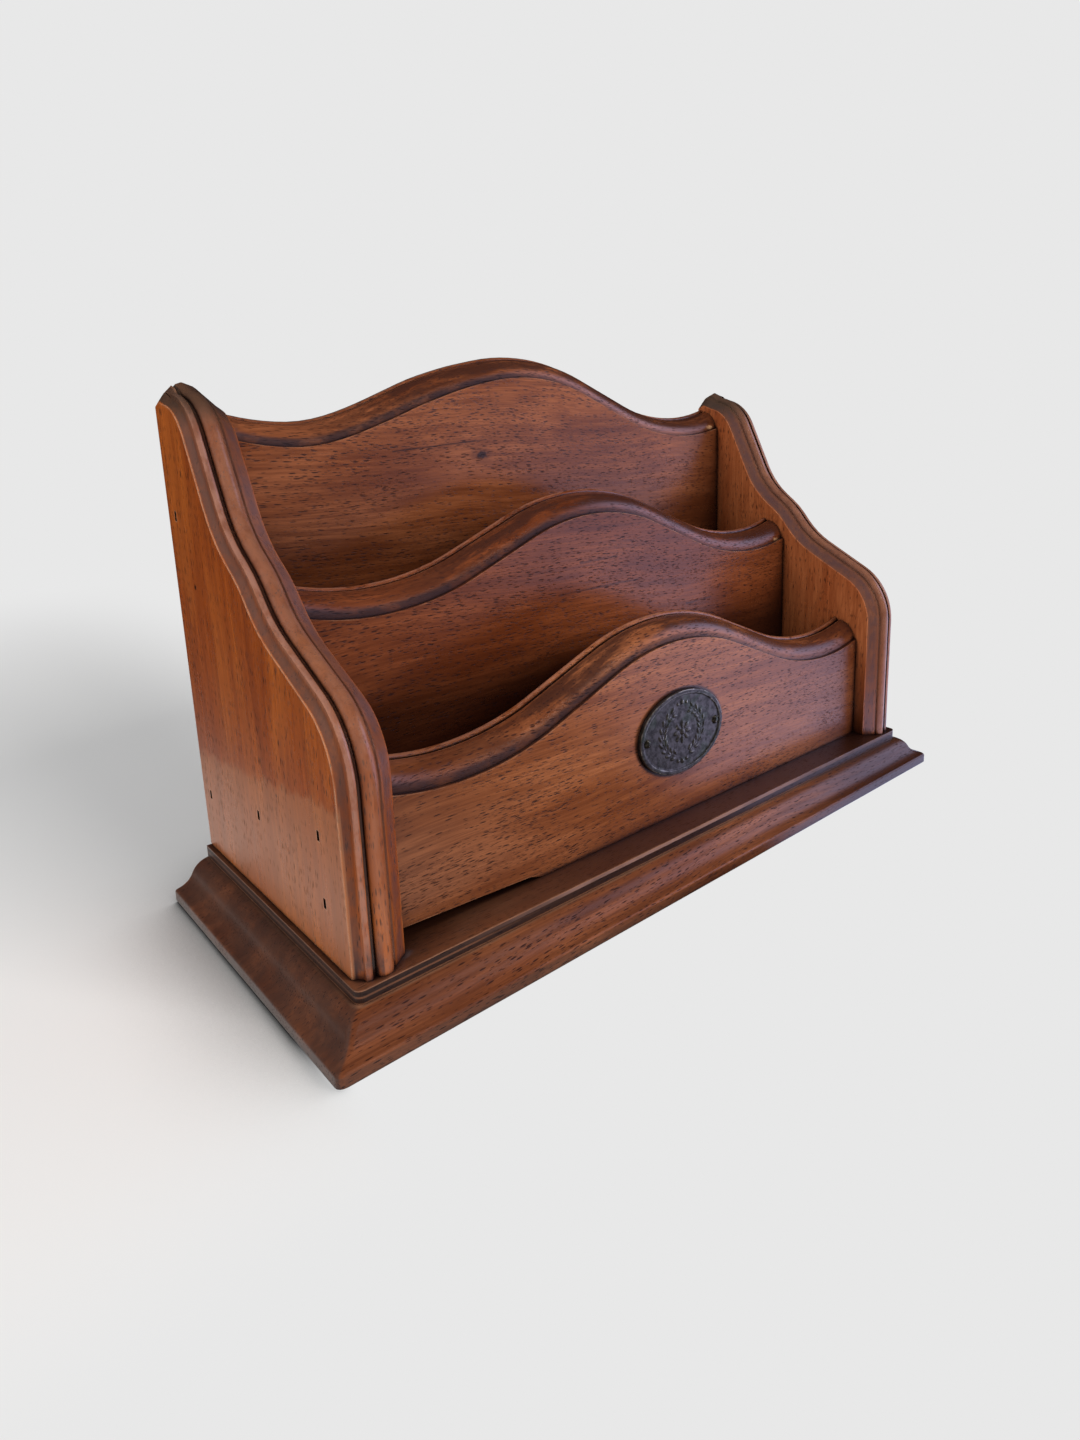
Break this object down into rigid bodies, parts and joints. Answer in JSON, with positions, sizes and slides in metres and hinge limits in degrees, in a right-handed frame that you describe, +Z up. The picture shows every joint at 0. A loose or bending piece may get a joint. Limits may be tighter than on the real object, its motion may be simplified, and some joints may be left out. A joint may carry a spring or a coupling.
{
  "type": "letter organizer",
  "caption": "Wooden letter rack: shaped side panels with moulded edges, wavy boards with letter slots between them, a moulded base and an oval metal plate.",
  "frame": {"origin": "middle of the underside of the base board", "axes": "+X along the boards to the right, +Y to the back, +Z up; the front faces -Y"},
  "size_m": [0.2628, 0.1156, 0.1719],
  "materials": {
    "base_wood": "dark reddish-brown hardwood, waxed",
    "panel_wood": "warm reddish-brown hardwood with short dark pores, waxed",
    "board_wood": "reddish-brown hardwood with lengthwise grain and dark pores, waxed",
    "plate_metal": "dark patinated brass with worn edges",
    "pin_brass": "dulled brass",
    "brad_iron": "dark iron",
    "screw_steel": "dull steel"
  },
  "bodies": {
    "root": {"base_board": "base_wood", "side_panel_left": "panel_wood", "side_panel_right": "panel_wood", "back_board": "board_wood", "middle_board": "board_wood", "front_board": "board_wood", "oval_plate": "plate_metal", "plate_pin_left": "pin_brass", "plate_pin_right": "pin_brass", "back_board_brads_left": "brad_iron", "back_board_brads_right": "brad_iron", "middle_board_brad_left": "brad_iron", "middle_board_brad_right": "brad_iron", "front_board_brads_left": "brad_iron", "front_board_brads_right": "brad_iron", "base_screws_left": "screw_steel", "base_screws_right": "screw_steel", "base_screws_back": "screw_steel"}
  },
  "joints": []
}
